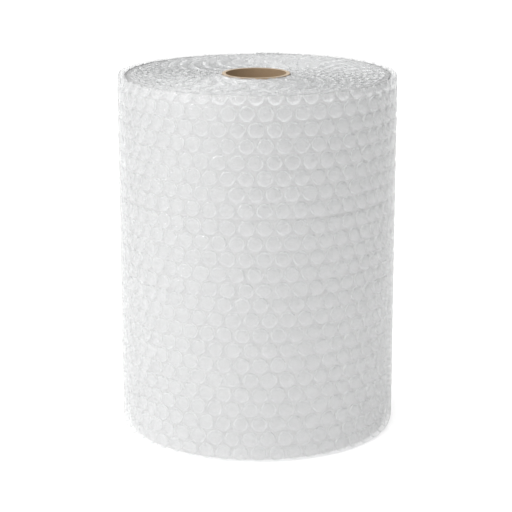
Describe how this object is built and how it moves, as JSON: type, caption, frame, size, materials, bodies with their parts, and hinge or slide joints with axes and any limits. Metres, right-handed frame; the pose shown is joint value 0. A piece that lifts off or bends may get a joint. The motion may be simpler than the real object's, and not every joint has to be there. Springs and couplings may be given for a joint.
{
  "type": "bubble wrap roll",
  "caption": "Roll of clear air-bubble cushioning film wound in a spiral on a cardboard tube, standing on its end, with an open bore right through.",
  "frame": {"origin": "on the tube's axis, in the plane of the lower end, on which the roll stands", "axes": "+Z along the tube's axis, upwards; +Y towards the back, where the film's free end lies"},
  "size_m": [0.1924, 0.1944, 0.25],
  "materials": {
    "film": "glossy",
    "cardboard": "matte"
  },
  "bodies": {
    "root": {"bubble_film": "film", "core_tube": "cardboard"}
  },
  "joints": []
}
